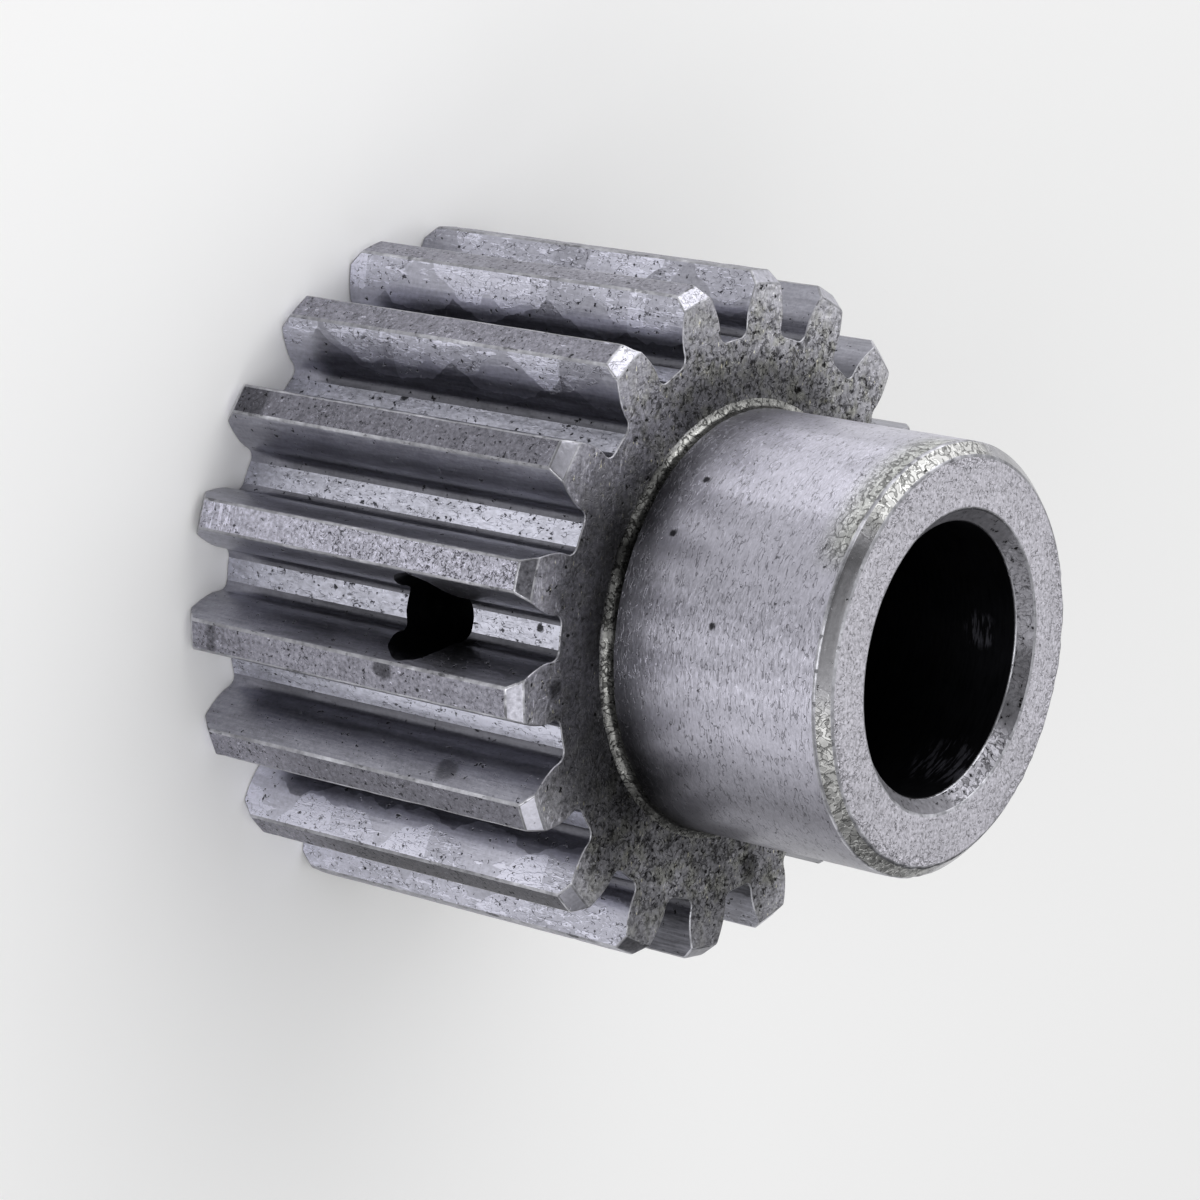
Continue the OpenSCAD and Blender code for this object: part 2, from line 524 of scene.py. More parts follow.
# Nodes
class Nodes:
    """Writes a node tree. Each call adds one node and returns its output."""

    def __init__(self, tree):
        self.tree = tree
        tree.nodes.clear()

    def add(self, kind, **settings):
        node = self.tree.nodes.new(kind)
        for name, value in settings.items():
            setattr(node, name, value)
        return node

    def put(self, socket, value):
        if isinstance(value, bpy.types.NodeSocket):
            self.tree.links.new(value, socket)
        elif value is not None:
            socket.default_value = value

    def math(self, operation, a, b=None, c=None):
        node = self.add("ShaderNodeMath", operation=operation)
        for socket, value in zip(node.inputs, (a, b, c)):
            self.put(socket, value)
        return node.outputs[0]

    def product(self, a, b):
        return self.math("MULTIPLY", a, b)

    def larger(self, a, b):
        return self.math("MAXIMUM", a, b)

    def vector(self, operation, a, b=None):
        node = self.add("ShaderNodeVectorMath", operation=operation)
        self.put(node.inputs[0], a)
        self.put(node.inputs[1], b)
        return node.outputs["Value" if operation in ("DOT_PRODUCT", "LENGTH") else "Vector"]

    def point(self):
        """Place on the gear, in millimetres."""
        place = self.add("ShaderNodeTexCoord").outputs["Object"]
        return self.vector("MULTIPLY", place, (1 / MM,) * 3)

    def noise(self, vector, scale, detail=2.0, roughness=0.5):
        node = self.add("ShaderNodeTexNoise")
        self.put(node.inputs["Vector"], vector)
        for name, value in (("Scale", scale), ("Detail", detail), ("Roughness", roughness)):
            node.inputs[name].default_value = value
        return node.outputs["Fac"]

    def span(self, value, low, high, to_low=0.0, to_high=1.0):
        """Maps low..high to to_low..to_high, smoothly, and holds it there beyond."""
        node = self.add("ShaderNodeMapRange", interpolation_type="SMOOTHSTEP")
        for socket, item in zip(node.inputs, (value, low, high, to_low, to_high)):
            self.put(socket, item)
        return node.outputs[0]

    def mix(self, share, a, b):
        node = self.add("ShaderNodeMix", data_type="RGBA")
        self.put(node.inputs[0], share)
        for socket, colour in ((node.inputs[6], a), (node.inputs[7], b)):
            self.put(socket, (*colour, 1) if isinstance(colour, tuple) else colour)
        return node.outputs[2]

    def scaled(self, colour, factor):
        """A colour times a factor."""
        node = self.add("ShaderNodeVectorMath", operation="SCALE")
        self.put(node.inputs[0], colour)
        self.put(node.inputs["Scale"], factor)
        return node.outputs[0]

    def split(self, point):
        """The three coordinates of a point."""
        node = self.add("ShaderNodeSeparateXYZ")
        self.put(node.inputs[0], point)
        return node.outputs


# Steel
FEATURE = 0.6  # a noise of this scale has features of about 1 mm


def sector(n, point, azimuth, half_width, soft=4.0):
    """1 within half_width degrees of an azimuth, and 0 beyond the soft border."""
    flat = n.vector("NORMALIZE", n.vector("MULTIPLY", point, (1, 1, 0)))
    a = math.radians(azimuth)
    dot = n.vector("DOT_PRODUCT", flat, (math.cos(a), math.sin(a), 0))
    inner, outer = (math.cos(math.radians(w)) for w in (half_width, half_width + soft))
    return n.span(dot, outer, inner)


def radius_of(n, point):
    return n.vector("LENGTH", n.vector("MULTIPLY", point, (1, 1, 0)))


def height_of(n, point):
    return n.split(point)[2]


def spot(n, point, place, radius, soft=0.3, stretch=(1, 1, 1)):
    """1 inside a spot, uneven in outline and stretched along the axes, and 0 beyond its border."""
    offset = n.vector("SUBTRACT", point, place)
    away = n.vector("LENGTH", n.vector("DIVIDE", offset, stretch))
    uneven = n.math("MULTIPLY_ADD", n.noise(point, 1.2 / radius, 3.0), radius * 0.9, -radius * 0.45)
    return n.span(n.math("ADD", away, uneven), radius * (1 - soft), radius * (1 + soft), 1, 0)


def blots(n, point, size, low, high, stretch=(1, 1, 1), shift=0.0):
    """A noise with features of this size: 0 where it is below low, 1 where it is above high."""
    place = n.vector("ADD", n.vector("DIVIDE", point, stretch), (shift, shift * 0.7, -shift))
    return n.span(n.noise(place, FEATURE / size, 3.0, 0.6), low, high)


def tooth_number(n, point):
    """A whole number that is the same all over a tooth and differs from tooth to tooth."""
    x, y, _ = n.split(point)
    return n.math("FLOOR", n.product(n.math("ARCTAN2", y, x), TOOTH_COUNT / (2 * math.pi)))


def tooth_tone(n, tooth):
    """A random number from 0 to 1 for each tooth."""
    wave = n.product(n.math("SINE", n.product(tooth, 12.9898)), 43.758)
    return n.math("FRACT", n.math("ADD", wave, 100))


def scallops(n, point, tooth, border_r, drop, length, shift):
    """1 above a scalloped line along a flank and 0 below it, and a random tone for each scallop."""
    start = n.math("MULTIPLY_ADD", tooth, 7.31, shift)
    place = n.math("MULTIPLY_ADD", height_of(n, point), 1 / length, start)
    cells = n.add("ShaderNodeTexVoronoi", voronoi_dimensions="1D")
    n.put(cells.inputs["W"], place)
    cells.inputs["Scale"].default_value = 1.0
    arc = n.math("POWER", cells.outputs["Distance"], 2.0)
    wobble = n.math("MULTIPLY_ADD", n.noise(point, 1.1, 2.0), 0.9, border_r - 0.45)
    line = n.math("MULTIPLY_ADD", arc, 4 * drop, wobble)
    tone = n.add("ShaderNodeSeparateColor")
    n.put(tone.inputs[0], cells.outputs["Color"])
    return n.span(n.math("SUBTRACT", radius_of(n, point), line), -0.03, 0.03), tone.outputs[0]


class Finish:
    """The level of the colour, the roughness and the height in millimetres of one finish of steel."""

    def __init__(self, name, colour, roughness):
        self.material = bpy.data.materials.new(name)
        self.material.use_nodes = True
        self.n = Nodes(self.material.node_tree)
        self.point = self.n.point()
        self.colour, self.rough, self.height = colour, roughness, 0.0
        self.level = 1.0
        self.overlays = []

    def shade(self, pattern, amount):
        """Adds amount to the level where the pattern is 1, and takes it off where it is 0."""
        change = self.n.math("MULTIPLY_ADD", pattern, 2 * amount, -amount)
        self.level = self.n.math("ADD", self.level, change)

    def times(self, pattern, factor):
        """Multiplies the level by the factor where the pattern is 1."""
        change = self.n.math("MULTIPLY_ADD", pattern, factor - 1, 1)
        self.level = self.n.product(self.level, change)

    def sides(self, *rows):
        """The same for whole sides, each given as azimuth, half width, soft border and factor."""
        for azimuth, half_width, soft, factor in rows:
            self.times(sector(self.n, self.point, azimuth, half_width, soft), factor)

    def lift(self, pattern, millimetres):
        self.height = self.n.math("MULTIPLY_ADD", pattern, millimetres, self.height)

    def roughen(self, pattern, amount):
        self.rough = self.n.math("MULTIPLY_ADD", pattern, amount, self.rough)

    def grain(self, size, shade, millimetres=0.0, rough=0.0, stretch=(1, 1, 1), shift=0.0):
        """A noise with features of this size all over, in the level, the height and the roughness."""
        n = self.n
        place = n.vector("ADD", n.vector("DIVIDE", self.point, stretch), (shift, -shift, shift))
        pattern = n.noise(place, FEATURE / size, 2.0, 0.6)
        if shade:
            self.shade(pattern, shade * 2)
        if millimetres:
            self.lift(pattern, millimetres)
        if rough:
            self.roughen(pattern, rough)

    def rings(self, size, shade, millimetres):
        """Marks of a turning tool on a flat end, round the axis."""
        n = self.n
        joined = n.add("ShaderNodeCombineXYZ")
        n.put(joined.inputs[0], radius_of(n, self.point))
        n.put(joined.inputs[1], n.noise(self.point, 0.35, 1.0))
        pattern = n.noise(joined.outputs[0], FEATURE / size, 2.0, 0.6)
        self.shade(pattern, shade * 2)
        self.lift(pattern, millimetres)

    def pits(self, size, low, stretch=(1, 1, 1), shift=0.0, depth=0.02, dark=0.12, soft=0.03, mask=None):
        """Dark pits with ragged outlines. The higher low is, the more of them there are."""
        n = self.n
        pattern = blots(n, self.point, size, low - soft, low + soft, stretch, shift)
        pattern = n.math("SUBTRACT", 1.0, pattern)
        if mask is not None:
            pattern = n.product(pattern, mask)
        self.times(pattern, dark)
        self.lift(pattern, -depth)
        self.roughen(pattern, 0.2)

    def specks(self, size, high, stretch=(1, 1, 1), shift=50.0, light=1.5, height=0.008, soft=0.03,
               mask=None):
        """Bright specks, the more of them the lower high is."""
        n = self.n
        pattern = blots(n, self.point, size, high - soft, high + soft, stretch, shift)
        if mask is not None:
            pattern = n.product(pattern, mask)
        self.times(pattern, light)
        self.lift(pattern, height)

    def ticks(self, size, width, keep, factor, millimetres, stretch=(1, 1, 1), shift=0.0, mask=None):
        """Short curved marks: stretches of a noise's contour lines, kept where another noise is high."""
        n = self.n
        place = n.vector("ADD", n.vector("DIVIDE", self.point, stretch), (shift, shift, -shift))
        off = n.math("ABSOLUTE", n.math("SUBTRACT", n.noise(place, FEATURE / size, 1.0), 0.5))
        pattern = n.span(off, width, width * 1.8, 1, 0)
        pattern = n.product(pattern, blots(n, place, size * 1.3, keep, keep + 0.04, shift=31.0))
        if mask is not None:
            pattern = n.product(pattern, mask)
        self.times(pattern, factor)
        self.lift(pattern, millimetres)

    def overlay(self, mask, colour):
        """Another colour where the mask is 1. The level still shades it."""
        self.overlays.append((mask, colour))

    def done(self):
        n = self.n
        colour = self.colour
        # The level stays low enough to keep the plain colour below white
        brightest = 0.95 / max(colour)
        for mask, other in self.overlays:
            colour = n.mix(mask, colour, other)
        shader = n.add("ShaderNodeBsdfPrincipled")
        shader.inputs["Metallic"].default_value = 1.0
        level = n.math("MINIMUM", n.larger(self.level, 0.02), brightest)
        n.put(shader.inputs["Base Color"], n.scaled(colour, level))
        n.put(shader.inputs["Roughness"], n.math("MINIMUM", n.larger(self.rough, 0.1), 0.9))
        bumps = n.add("ShaderNodeBump")
        bumps.inputs["Strength"].default_value = 1.0
        bumps.inputs["Distance"].default_value = MM
        n.put(bumps.inputs["Height"], self.height)
        n.put(shader.inputs["Normal"], bumps.outputs[0])
        output = n.add("ShaderNodeOutputMaterial")
        n.put(output.inputs["Surface"], shader.outputs[0])
        return self.material


AROUND = (2.4, 2.4, 0.8)  # stretches a pattern round the axis
ALONG = (1.0, 1.0, 5.0)  # stretches a pattern along the teeth


def painted_shade_sector(n, point):
    """Painted shade that darkens the spaces between the teeth on one side, unevenly."""
    uneven = blots(n, point, 1.4, 0.30, 0.55, (1, 1, 3.0), 11)
    return n.product(sector(n, point, 106, 22, 22), n.math("MULTIPLY_ADD", uneven, 0.5, 0.5))


def land_steel():
    f = Finish("steel_lands", (0.30, 0.296, 0.344), 0.38)
    n, p = f.n, f.point
    z = height_of(n, p)
    heavy = sector(n, p, -10, 5)
    f.level = n.math("MULTIPLY_ADD", tooth_tone(n, tooth_number(n, p)), 0.3, 0.85)
    f.grain(1.6, 0.14, rough=0.1)
    f.grain(0.25, 0.16, shift=3)
    f.grain(0.08, 0.36, 0.006)
    f.sides((-10, 5, 4, 1.95), (-30, 5, 4, 0.72), (10, 5, 4, 1.15))
    # Painted shade on the lands round azimuth 40 to 50, weaker near the bottom end
    f.times(n.product(sector(n, p, 40, 15), n.span(z, 2.0, 6.0, 0.3, 1.0)), 0.55)
    f.times(n.product(sector(n, p, 50, 5), n.span(z, 2.0, 6.0, 0.2, 1.0)), 0.5)
    patch = blots(n, p, 1.6, 0.42, 0.62, shift=2)
    f.ticks(0.13, 0.012, 0.50, 0.30, -0.02, shift=2, mask=n.math("MULTIPLY_ADD", patch, 0.8, 0.2))
    f.ticks(0.13, 0.012, 0.50, 1.7, 0.008, shift=12, mask=patch)
    speckled = n.product(heavy, n.span(z, 3.0, 6.5))
    f.ticks(0.11, 0.020, 0.45, 0.28, -0.02, shift=9, mask=speckled)
    f.ticks(0.12, 0.020, 0.46, 1.4, 0.01, shift=19, mask=speckled)
    f.specks(0.12, 0.70, (1, 1, 1.8), 60.0, light=2.2)
    f.pits(0.11, 0.36, shift=5, depth=0.02, dark=0.25)
    f.pits(0.26, 0.29, shift=4)
    # Marks on single teeth: a dark end, a dark spot, a dark band and scratches
    f.times(n.product(sector(n, p, -30, 5), n.span(z, 1.9, 1.6)), 0.5)
    f.times(spot(n, p, (12.10, 1.89, 9.23), 0.36, 0.25, (1, 0.8, 1.1)), 0.35)
    band = n.span(n.math("ABSOLUTE", n.math("SUBTRACT", z, 1.35)), 0.1, 0.3, 1, 0)
    f.times(n.product(sector(n, p, 10, 5), band), 0.55)
    scratched = spot(n, p, (12.0, -2.3, 1.45), 0.9, 0.5, (1, 1, 0.8))
    f.ticks(0.3, 0.03, 0.42, 1.9, -0.02, (1, 3.0, 0.35), 3, scratched)
    return f.done()


def flank_steel():
    f = Finish("steel_flanks", (0.32, 0.32, 0.366), 0.25)
    n, p = f.n, f.point
    r, z = radius_of(n, p), height_of(n, p)
    tooth = tooth_number(n, p)
    f.grain(2.2, 0.12, rough=0.12)
    f.grain(0.35, 0.14, 0.004, stretch=ALONG)
    f.grain(0.09, 0.14, 0.004)
    # Facets torn by the cutter, with scalloped borders, plainest on a few of the teeth
    strong = n.larger(sector(n, p, -60, 18, 3), sector(n, p, 50, 9, 3))
    strong = n.larger(strong, n.span(tooth_tone(n, n.math("ADD", tooth, 40)), 0.72, 0.78))
    strong = n.product(strong, n.math("SUBTRACT", 1.0, sector(n, p, 0, 17, 2)))
    f.times(strong, 1.5)
    f.times(sector(n, p, 60, 15, 3), 1.3)
    f.times(n.product(sector(n, p, 5.3, 3.2, 1.2), n.span(z, 2.5, 6.0)), 0.55)
    # Painted shade in the spaces between the teeth on one side
    f.times(painted_shade_sector(n, p), 0.30)
    strong = n.math("MULTIPLY_ADD", strong, 0.88, 0.12)
    upper, upper_tone = scallops(n, p, tooth, 11.1, 0.55, 2.6, 0.0)
    lower, lower_tone = scallops(n, p, tooth, 10.6, 0.45, 3.3, 5.3)
    below = n.product(n.math("SUBTRACT", 1.0, lower), n.span(z, 0.9, 2.0))
    f.times(n.product(below, strong), 0.45)
    f.times(n.product(n.product(lower, lower_tone), strong), 0.62)
    bright = n.product(upper, strong)
    f.times(n.product(bright, upper_tone), 1.6)
    f.roughen(bright, 0.12)
    f.ticks(0.11, 0.02, 0.45, 1.5, 0.012, (1, 1, 3.0), 5, bright)
    f.grain(0.07, 0.16, 0.006, stretch=(1, 1, 9.0), shift=25)
    f.ticks(0.12, 0.012, 0.50, 0.35, -0.02, (1, 1, 1.4), 15, bright)
    crest = n.product(strong, n.span(r, 11.3, 11.9))
    f.specks(0.13, 0.60, (1, 1, 4.0), 40.0, light=1.6, mask=crest)
    # Painted shade, soft and ragged, deep down the spaces
    ragged = n.noise(n.vector("DIVIDE", p, (1, 1, 3.0)), 1.6, 4.0, 0.65)
    depth = n.math("MULTIPLY_ADD", ragged, -1.0, n.math("ADD", r, 0.5))
    f.times(n.product(n.span(depth, 11.25, 10.55, 0, 1), n.span(z, 1.0, 2.2)), 0.52)
    f.pits(0.14, 0.33)
    f.pits(0.32, 0.27, shift=7)
    f.times(spot(n, p, (10.47, 5.10, 11.07), 0.45, 0.4), 0.45)
    return f.done()


def space_steel():
    f = Finish("steel_spaces", (0.56, 0.564, 0.645), 0.30)
    n, p = f.n, f.point
    z = height_of(n, p)
    f.sides((-40, 8, 4, 0.78))
    f.times(n.product(sector(n, p, 19.5, 1.2, 1.0), n.span(z, 3.0, 9.0)), 1.45)
    f.times(n.product(sector(n, p, -10, 14), n.span(z, 5.0, 13.0)), 1.22)
    # Painted shade in the spaces between the teeth on one side
    f.times(painted_shade_sector(n, p), 0.30)
    f.grain(1.8, 0.14, rough=0.1)
    f.grain(0.30, 0.16, 0.005, stretch=ALONG, shift=2)
    f.grain(0.09, 0.26, 0.006, stretch=(1, 1, 1.6))
    f.ticks(0.12, 0.012, 0.53, 0.45, -0.015, (1, 1, 1.5), 5)
    f.ticks(0.12, 0.014, 0.50, 1.3, 0.008, (1, 1, 4.0), 15)
    f.specks(0.14, 0.68, (1, 1, 2.5), 70.0, light=1.6)
    f.pits(0.14, 0.345, (1, 1, 1.4), depth=0.03, dark=0.15)
    f.pits(0.34, 0.285, shift=7, depth=0.04)
    for place, radius in (((10.0, -0.21, 14.12), 0.14), ((7.40, -6.72, 5.30), 0.16)):
        f.times(spot(n, p, place, radius, 0.3), 0.08)
    return f.done()


def tooth_bevel_steel():
    f = Finish("steel_tooth_bevels", (0.49, 0.487, 0.55), 0.30)
    n, p = f.n, f.point
    torn = n.larger(sector(n, p, -60, 16), sector(n, p, 150, 30))
    # Painted highlights and painted shade on the bevels of single teeth
    for azimuth, factor in ((-70, 1.15), (-50, 1.3), (-30, 1.3), (-10, 0.38), (10, 0.8), (30, 1.5),
                            (50, 1.3), (70, 0.5), (90, 0.4)):
        f.sides((azimuth, 6, 4, factor))
    f.grain(0.5, 0.14)
    f.grain(0.09, 0.22, 0.006)
    f.ticks(0.14, 0.03, 0.42, 1.15, 0.015, shift=5, mask=torn)
    f.ticks(0.14, 0.02, 0.47, 0.65, -0.015, shift=8, mask=torn)
    f.pits(0.2, 0.29)
    return f.done()


def toothed_end_steel():
    f = Finish("steel_toothed_end", (0.262, 0.26, 0.282), 0.50)
    n, p = f.n, f.point
    r = radius_of(n, p)
    smooth = sector(n, p, -5, 30, 22)
    rough = n.product(n.math("MULTIPLY_ADD", smooth, -0.6, 1.0), n.span(r, 11.4, 10.2, 0.45, 1.0))
    f.grain(2.2, 0.16)
    f.grain(0.8, 0.26, shift=15)
    f.grain(0.30, 0.26, 0.008, shift=5)
    f.grain(0.10, 0.44, 0.014)
    f.overlay(n.product(blots(n, p, 0.5, 0.44, 0.66), rough), (0.255, 0.255, 0.240))
    # Painted shade in the corner at the foot of the hub, and painted light on the ends of the teeth and
    # on one side
    f.times(n.span(r, 10.4, 8.2), 0.60)
    f.times(n.span(r, 10.2, 11.4), 1.45)
    f.sides((-118, 32, 20, 1.4))
    # More painted shade: azimuth, half width, soft border, radii where it starts and is full, and factor
    for azimuth, half_width, soft, start, full, factor in (
            (-86, 24, 12, 9.8, 8.6, 0.60), (-11, 12, 12, 9.2, 8.2, 0.55),
            (12, 34, 20, 11.4, 9.6, 0.50), (80, 18, 16, 9.4, 10.4, 0.62)):
        side = sector(n, p, azimuth, half_width, soft)
        f.times(n.product(side, n.span(r, start, full)), factor)
    f.ticks(0.17, 0.03, 0.47, 0.42, -0.03, shift=4, mask=rough)
    f.ticks(0.13, 0.02, 0.47, 1.5, 0.015, shift=14, mask=rough)
    f.pits(0.22, 0.40, shift=30, depth=0.02, dark=0.45, soft=0.06, mask=rough)
    f.ticks(0.35, 0.008, 0.50, 1.8, -0.004, (0.6, 2.0, 1), 24, smooth)
    f.pits(0.15, 0.375, depth=0.03, dark=0.2, mask=rough)
    f.pits(0.24, 0.345, shift=9, depth=0.05, dark=0.1)
    for place, radius in (((-2.34, 9.19, 15.0), 0.45), ((10.03, 1.73, 15.0), 0.3)):
        f.times(spot(n, p, place, radius, 0.4), 0.35)
    straw = blots(n, p, 0.12, 0.67, 0.69, (0.5, 1.8, 1), 21)
    f.overlay(straw, (0.50, 0.48, 0.36))
    f.times(straw, 1.5)
    return f.done()


def hub_foot_steel():
    f = Finish("steel_hub_foot", (0.46, 0.46, 0.445), 0.38)
    n, p = f.n, f.point
    f.grain(0.5, 0.18)
    f.grain(0.10, 0.40, 0.02)
    # Painted shade: darker up the fillet towards the hub, and on several sides
    f.times(n.span(height_of(n, p), FACE_W + 0.10, FACE_W + 0.17), 0.3)
    f.sides((-33, 12, 9, 0.25), (90, 40, 10, 0.4), (30, 26, 12, 0.7), (-13, 8, 7, 0.28),
            (-85, 14, 10, 0.6))
    f.ticks(0.16, 0.03, 0.43, 0.3, -0.03, shift=3)
    f.ticks(0.12, 0.03, 0.47, 1.45, 0.02, shift=13)
    return f.done()


def hub_steel():
    f = Finish("steel_hub", (0.525, 0.517, 0.59), 0.30)
    n, p = f.n, f.point
    z = height_of(n, p)
    woven = sector(n, p, -3, 10, 10)
    flat = n.vector("MULTIPLY", p, (1, 1, 0.06))
    f.shade(n.noise(flat, 0.5, 2.0), 0.45)
    f.grain(2.5, 0.06, rough=0.08)
    f.grain(0.5, 0.06, 0.001)
    f.grain(0.06, 0.17, 0.0025, stretch=(2.0, 2.0, 0.8))
    f.grain(0.05, 0.07, 0.0015, stretch=(14, 14, 0.8), shift=6)
    weave = n.math("SUBTRACT", n.noise(n.vector("DIVIDE", p, (2.6, 2.6, 0.8)), 9.0, 1.0), 0.5)
    f.shade(n.math("MULTIPLY_ADD", weave, woven, 0.5), 0.45)
    f.ticks(0.11, 0.016, 0.50, 0.55, -0.01, AROUND, 5)
    light = n.larger(sector(n, p, -52, 14, 14), n.product(woven, 0.8))
    f.ticks(0.11, 0.02, 0.47, 1.25, 0.006, AROUND, 15, light)
    f.pits(0.13, 0.30, (1.3, 1.3, 0.9), depth=0.015, dark=0.3)
    f.pits(0.26, 0.25, shift=7, depth=0.03, dark=0.12)
    # A band of painted highlight, painted shade on the side across from it and in another band above the
    # foot, and painted shade at the foot, darkest on two sides
    f.sides((-56, 7, 12, 1.25), (64, 18, 28, 0.45))
    f.times(n.product(sector(n, p, -23, 5, 14), n.span(z, 16.8, 18.5)), 0.80)
    uneven = n.math("MULTIPLY_ADD", n.noise(p, 0.9, 2.0), 0.8, z)
    foot = n.span(uneven, FACE_W + 2.2, FACE_W + 0.8)
    f.times(foot, 0.75)
    shaded_sides = n.larger(sector(n, p, -40, 8, 9), sector(n, p, 80, 50, 24))
    f.times(n.product(foot, shaded_sides), 0.25)
    rough_rim = n.product(sector(n, p, -58, 22, 12), n.span(z, 22.0, 23.3))
    f.overlay(rough_rim, (0.46, 0.465, 0.455))
    f.ticks(0.2, 0.035, 0.38, 0.4, -0.04, shift=12, mask=rough_rim)
    f.ticks(0.2, 0.03, 0.42, 1.5, 0.03, shift=22, mask=rough_rim)
    for place in ((6.57, -3.62, 16.69), (5.21, -5.40, 16.88), (7.44, -0.96, 19.25)):
        f.times(spot(n, p, place, 0.13, 0.35), 0.1)
    return f.done()


def hammered_sectors(n, point):
    one = n.larger(sector(n, point, -70, 25, 8), sector(n, point, 50, 36, 12))
    return n.larger(one, sector(n, point, 170, 40, 12))


def hub_bevel_steel():
    f = Finish("steel_hub_bevel", (0.40, 0.397, 0.42), 0.24)
    n, p = f.n, f.point
    lumpy = hammered_sectors(n, p)
    f.grain(1.2, 0.10)
    f.grain(0.10, 0.12, 0.003)
    f.overlay(lumpy, (0.40, 0.40, 0.395))
    f.times(lumpy, 1.1)
    # A band of painted shade and a side of painted highlight
    f.sides((-37, 5, 5, 0.65), (-76, 26, 8, 1.25))
    f.roughen(lumpy, 0.14)
    f.ticks(0.22, 0.04, 0.38, 1.4, 0.05, shift=6, mask=lumpy)
    f.ticks(0.20, 0.03, 0.42, 0.45, -0.05, shift=16, mask=lumpy)
    f.pits(0.16, 0.31)
    return f.done()


def hub_end_steel():
    f = Finish("steel_hub_end", (0.60, 0.588, 0.645), 0.42)
    n, p = f.n, f.point
    f.grain(1.6, 0.08)
    f.grain(0.20, 0.12, 0.003)
    f.grain(0.08, 0.34, 0.006)
    f.rings(0.12, 0.05, 0.002)
    f.ticks(0.12, 0.02, 0.47, 0.55, -0.012, shift=5)
    f.pits(0.13, 0.325, depth=0.02, dark=0.4)
    rim = n.product(hammered_sectors(n, p), n.span(radius_of(n, p), 6.4, 7.0))
    f.ticks(0.18, 0.03, 0.40, 0.6, -0.04, shift=9, mask=rim)
    f.ticks(0.18, 0.03, 0.42, 1.25, 0.03, shift=19, mask=rim)
    return f.done()


def mouth_steel():
    f = Finish("steel_bore_mouth", (0.25, 0.247, 0.270), 0.62)
    n, p = f.n, f.point
    lumpy = n.larger(sector(n, p, 125, 18, 6), n.product(sector(n, p, -165, 30, 12), 0.4))
    f.grain(1.0, 0.16)
    f.grain(0.12, 0.3, 0.006)
    f.times(lumpy, 1.8)
    f.sides((166, 12, 8, 0.5))
    f.ticks(0.18, 0.035, 0.38, 1.3, 0.03, shift=4, mask=lumpy)
    f.ticks(0.18, 0.03, 0.40, 0.45, -0.04, shift=14, mask=lumpy)
    f.pits(0.12, 0.35)
    return f.done()


def bore_steel():
    # Near black: painted shade down the walls of the bore and the pin hole
    f = Finish("steel_bore", (0.022, 0.022, 0.026), 0.45)
    n, p = f.n, f.point
    f.grain(0.8, 0.3)
    f.grain(0.08, 0.3, 0.004, stretch=(6, 6, 0.9))
    brushed = n.larger(spot(n, p, (-2.6, 3.95, 22.5), 1.1), spot(n, p, (-4.70, -0.5, 22.1), 0.6))
    streaks = blots(n, p, 0.09, 0.48, 0.60, (6, 6, 0.9), 4)
    f.overlay(n.product(brushed, streaks), (0.20, 0.20, 0.24))
    return f.done()


def edge_steel():
    f = Finish("steel_worn_edges", (0.32, 0.32, 0.345), 0.34)
    f.grain(1.4, 0.25)
    f.grain(0.16, 0.30, 0.008)
    n, p = f.n, f.point
    bright = n.math("MULTIPLY_ADD", blots(n, p, 2.6, 0.42, 0.60, shift=17), 0.85, 0.15)
    f.specks(0.5, 0.50, (1, 1, 2.2), light=1.7, height=0.01, soft=0.08, mask=bright)
    f.pits(0.22, 0.37, (1, 1, 1.6), depth=0.01, dark=0.55)
    return f.done()


def bottom_steel():
    f = Finish("steel_bottom", (0.40, 0.40, 0.415), 0.42)
    f.grain(1.8, 0.14)
    f.grain(0.20, 0.12, 0.004)
    f.grain(0.09, 0.30, 0.008)
    f.rings(0.12, 0.06, 0.003)
    f.ticks(0.14, 0.016, 0.46, 0.5, -0.015, shift=5)
    f.pits(0.2, 0.31)
    return f.done()


def gear_materials():
    """The finishes in the order of the kinds of surface."""
    finishes = (land_steel, flank_steel, space_steel, tooth_bevel_steel, toothed_end_steel,
                hub_foot_steel, hub_steel, hub_bevel_steel, hub_end_steel, mouth_steel, bore_steel,
                edge_steel, bottom_steel)
    return [make() for make in finishes]


def make_gear():
    points, faces, kinds = stitch(gear_rings())
    points = points + vertex_normals(points, faces) * worn_depth(points)[:, None]
    piece = new_object("gear_steel", mesh_from("gear_steel", points, faces, kinds))
    for material in gear_materials():
        piece.data.materials.append(material)
    cut(piece, pin_hole_cutter())
    sharpen_borders(piece.data, BORE)
    return piece


# Floor, light and camera
FLOOR_HALF = 3.0  # metres
FLOOR_DROP = 0.02 * MM  # keeps the floor just clear of the bottom face


def make_floor():
    mesh = bpy.data.meshes.new("floor")
    corners = ((-1, -1), (1, -1), (1, 1), (-1, 1))
    mesh.from_pydata([(x * FLOOR_HALF, y * FLOOR_HALF, -FLOOR_DROP) for x, y in corners],
                     [], [(0, 1, 2, 3)])
    floor = new_object("floor", mesh)
    material = bpy.data.materials.new("floor_white")
    material.use_nodes = True
    n = Nodes(material.node_tree)
    shader = n.add("ShaderNodeBsdfPrincipled")
    shader.inputs["Base Color"].default_value = (0.97, 0.97, 0.97, 1)
    shader.inputs["Roughness"].default_value = 0.8
    shader.inputs["Specular IOR Level"].default_value = 0.2
    output = n.add("ShaderNodeOutputMaterial")
    n.put(output.inputs["Surface"], shader.outputs[0])
    mesh.materials.append(material)
    return floor


def direction(azimuth, elevation):
    """The unit vector that points this way, with both angles in degrees."""
    a, e = math.radians(azimuth), math.radians(elevation)
    return Vector((math.cos(a) * math.cos(e), math.sin(a) * math.cos(e), math.sin(e)))


TARGET = Vector((0, 0, 11 * MM))


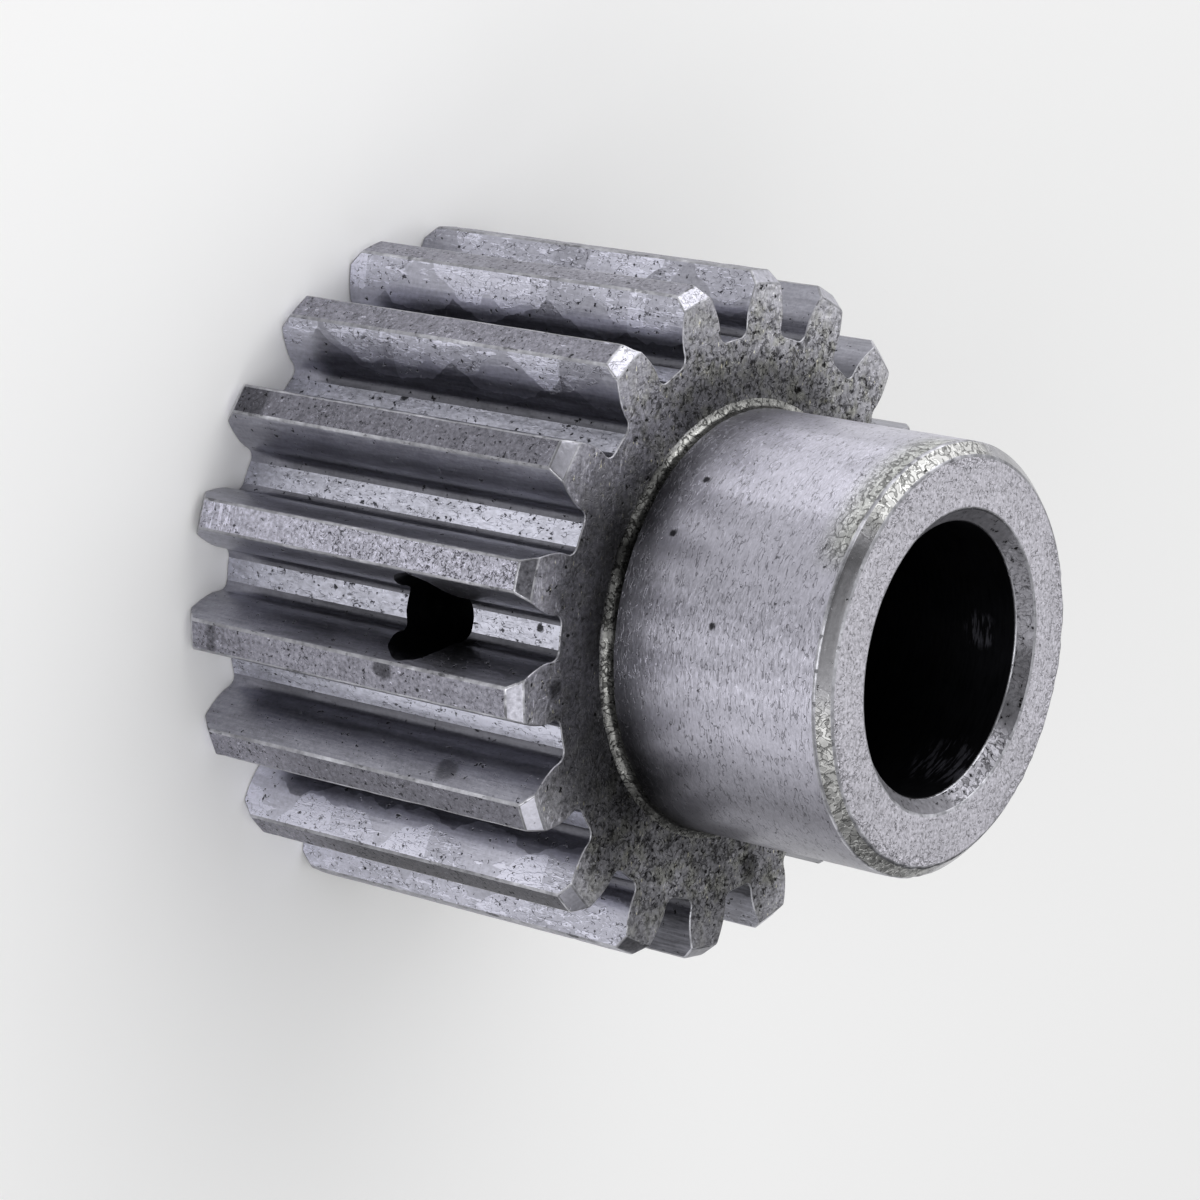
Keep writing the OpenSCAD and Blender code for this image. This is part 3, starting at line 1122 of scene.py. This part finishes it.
# Each lamp: name, azimuth, elevation, distance, width and height in metres, and watts
LAMPS = (
    ("key", -103, 27, 0.32, 0.46, 0.28, 0.42),
    ("front", 4, 24, 0.32, 0.18, 0.14, 0.28),
    ("side", 45, 50, 0.32, 0.09, 0.09, 0.05),
)


def area_lamp(name, azimuth, elevation, distance, width, height, power):
    """A soft box that faces the gear."""
    data = bpy.data.lights.new(name, "AREA")
    data.shape = "RECTANGLE"
    data.size, data.size_y = width, height
    data.energy = power
    lamp = bpy.data.objects.new(name, data)
    bpy.context.scene.collection.objects.link(lamp)
    away = direction(azimuth, elevation)
    lamp.location = TARGET + away * distance
    lamp.rotation_mode = "QUATERNION"
    lamp.rotation_quaternion = away.to_track_quat("Z", "Y")
    lamp.visible_camera = False


WORLD_LEVEL = 0.48
# Each patch of the studio: azimuth, elevation, the radii in degrees within which it is full and
# beyond which it is gone, and its level
STUDIO_PATCHES = (
    (-128, 26, 18, 60, 1.0),
    (172, 38, 10, 38, 1.12),
    (-40, 52, 6, 34, 0.12),
    (0, 90, 12, 42, 1.25),
    (56, 45, 14, 36, 0.95),
    (132, 10, 16, 38, 0.06),
)


def make_world():
    """A studio all round, with brighter and darker patches that the steel mirrors."""
    world = bpy.data.worlds.new("studio")
    bpy.context.scene.world = world
    world.use_nodes = True
    n = Nodes(world.node_tree)
    place = n.add("ShaderNodeTexCoord").outputs["Generated"]
    level = WORLD_LEVEL
    for azimuth, elevation, inner, outer, strength in STUDIO_PATCHES:
        towards = tuple(direction(azimuth, elevation))
        dot = n.vector("DOT_PRODUCT", place, towards)
        share = n.span(dot, math.cos(math.radians(outer)), math.cos(math.radians(inner)))
        level = n.math("MULTIPLY_ADD", share, n.math("SUBTRACT", strength, level), level)
    background = n.add("ShaderNodeBackground")
    n.put(background.inputs["Strength"], level)
    output = n.add("ShaderNodeOutputWorld")
    n.put(output.inputs["Surface"], background.outputs[0])


CAMERA_AIM = Vector((0, 0.29, 8.977)) * MM
CAMERA_DISTANCE = 145.7 * MM
CAMERA_AZIMUTH, CAMERA_ELEVATION, CAMERA_ROLL = -10.34, 36.48, -101.43  # degrees
CAMERA_LENS, CAMERA_SENSOR = 121.79, 36  # both in millimetres


def make_camera():
    """The photo's view. The gear stands on its teeth here, so the camera is rolled."""
    data = bpy.data.cameras.new("camera")
    data.sensor_width = CAMERA_SENSOR
    data.lens = CAMERA_LENS
    data.clip_start, data.clip_end = 0.005, 20
    camera = bpy.data.objects.new("camera", data)
    bpy.context.scene.collection.objects.link(camera)
    back = direction(CAMERA_AZIMUTH, CAMERA_ELEVATION)
    level_right = (-back).cross(Vector((0, 0, 1))).normalized()
    level_up = level_right.cross(-back)
    roll = math.radians(CAMERA_ROLL)
    up = level_up * math.cos(roll) + level_right * math.sin(roll)
    right = (-back).cross(up)
    turn = Matrix((right, up, back)).transposed().to_4x4()
    camera.matrix_world = Matrix.Translation(CAMERA_AIM + back * CAMERA_DISTANCE) @ turn
    bpy.context.scene.camera = camera


gear = make_gear()
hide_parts("gear")
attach(gear, "root")
make_floor()
make_world()
for lamp in LAMPS:
    area_lamp(*lamp)
make_camera()
bpy.context.scene.view_settings.view_transform = "Standard"
